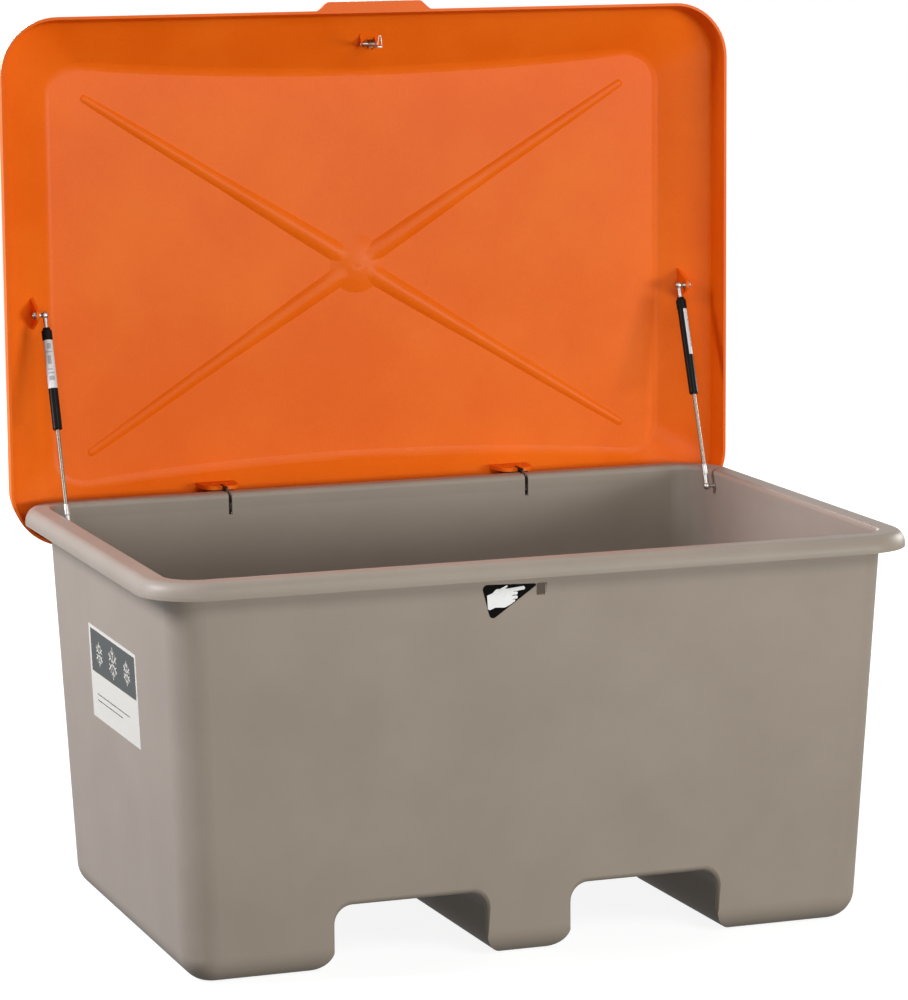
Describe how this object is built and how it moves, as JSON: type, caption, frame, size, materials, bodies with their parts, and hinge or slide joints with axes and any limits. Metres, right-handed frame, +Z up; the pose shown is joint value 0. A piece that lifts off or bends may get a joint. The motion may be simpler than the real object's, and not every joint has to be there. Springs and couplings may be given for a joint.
{
  "type": "grit salt bin",
  "caption": "Outdoor storage bin: tapered moulded tub with fork pockets under a domed ribbed lid on rear hinges, held open by gas springs and closed by a spring catch.",
  "frame": {"origin": "on the floor, under the middle of the tub", "axes": "+X along the length to the right seen from the front, +Y to the rear where the lid is hinged, +Z up"},
  "size_m": [1.224, 0.8885, 1.387],
  "materials": {
    "tub": "satin moulded glass fibre, fine texture",
    "lid": "semi-gloss moulded glass fibre",
    "zinc_steel": "zinc plated, satin",
    "bright_rod": "ground and bright",
    "black_tube": "semi-gloss black paint",
    "black_cap": "matt black",
    "spring_wire": "drawn steel wire"
  },
  "bodies": {
    "tub": {"tub": "tub", "hinge_bracket_left": "zinc_steel", "hinge_bracket_right": "zinc_steel", "hinge_pin_left": "zinc_steel", "hinge_pin_right": "zinc_steel", "lower_stud_left": "zinc_steel", "lower_stud_right": "zinc_steel", "lower_stud_nuts": "zinc_steel"},
    "lid": {"lid": "lid", "hinge_arm_left": "zinc_steel", "hinge_arm_right": "zinc_steel", "hinge_rivets": "zinc_steel", "upper_stud_left": "zinc_steel", "upper_stud_right": "zinc_steel", "upper_stud_nuts": "zinc_steel", "latch_bracket": "lid", "latch_pin": "zinc_steel"},
    "latch": {"latch_hook": "zinc_steel", "latch_spring": "spring_wire"},
    "rod_left": {"lower_socket_left": "zinc_steel", "piston_rod_left": "bright_rod", "piston_left": "zinc_steel"},
    "cylinder_left": {"cylinder_left": "black_tube", "rod_guide_left": "zinc_steel", "end_cap_left": "black_cap", "upper_socket_left": "zinc_steel"},
    "rod_right": {"lower_socket_right": "zinc_steel", "piston_rod_right": "bright_rod", "piston_right": "zinc_steel"},
    "cylinder_right": {"cylinder_right": "black_tube", "rod_guide_right": "zinc_steel", "end_cap_right": "black_cap", "upper_socket_right": "zinc_steel"}
  },
  "joints": [
    {"name": "lid_hinge", "type": "hinge", "parent": "tub", "child": "lid", "pos_m": [0, 0.3735, 0.5825], "axis": [1, 0, 0], "range_deg": [0, 90]},
    {"name": "spring_pivot_left", "type": "hinge", "parent": "tub", "child": "rod_left", "pos_m": [-0.542, 0.285, 0.583], "axis": [1, 0, 0], "range_deg": [0, 103.5]},
    {"name": "spring_slide_left", "type": "slide", "parent": "rod_left", "child": "cylinder_left", "axis": [0, 0.3527, 0.9357], "range_m": [-0.1085, 0]},
    {"name": "spring_pivot_right", "type": "hinge", "parent": "tub", "child": "rod_right", "pos_m": [0.542, 0.285, 0.583], "axis": [1, 0, 0], "range_deg": [0, 103.5]},
    {"name": "spring_slide_right", "type": "slide", "parent": "rod_right", "child": "cylinder_right", "axis": [0, 0.3527, 0.9357], "range_m": [-0.1085, 0]},
    {"name": "latch_pivot", "type": "hinge", "parent": "lid", "child": "latch", "pos_m": [0.003, 0.4294, 1.316], "axis": [1, 0, 0], "range_deg": [0, 14], "stiffness_Nm_per_rad": 0.05, "springref_deg": -17.19}
  ],
  "couplings": [
    {"joint": "spring_pivot_left", "follows": "lid_hinge", "ratio": 1.1426},
    {"joint": "spring_slide_left", "follows": "lid_hinge", "m_per_rad": -0.068666},
    {"joint": "spring_pivot_right", "follows": "lid_hinge", "ratio": 1.1426},
    {"joint": "spring_slide_right", "follows": "lid_hinge", "m_per_rad": -0.068666}
  ]
}
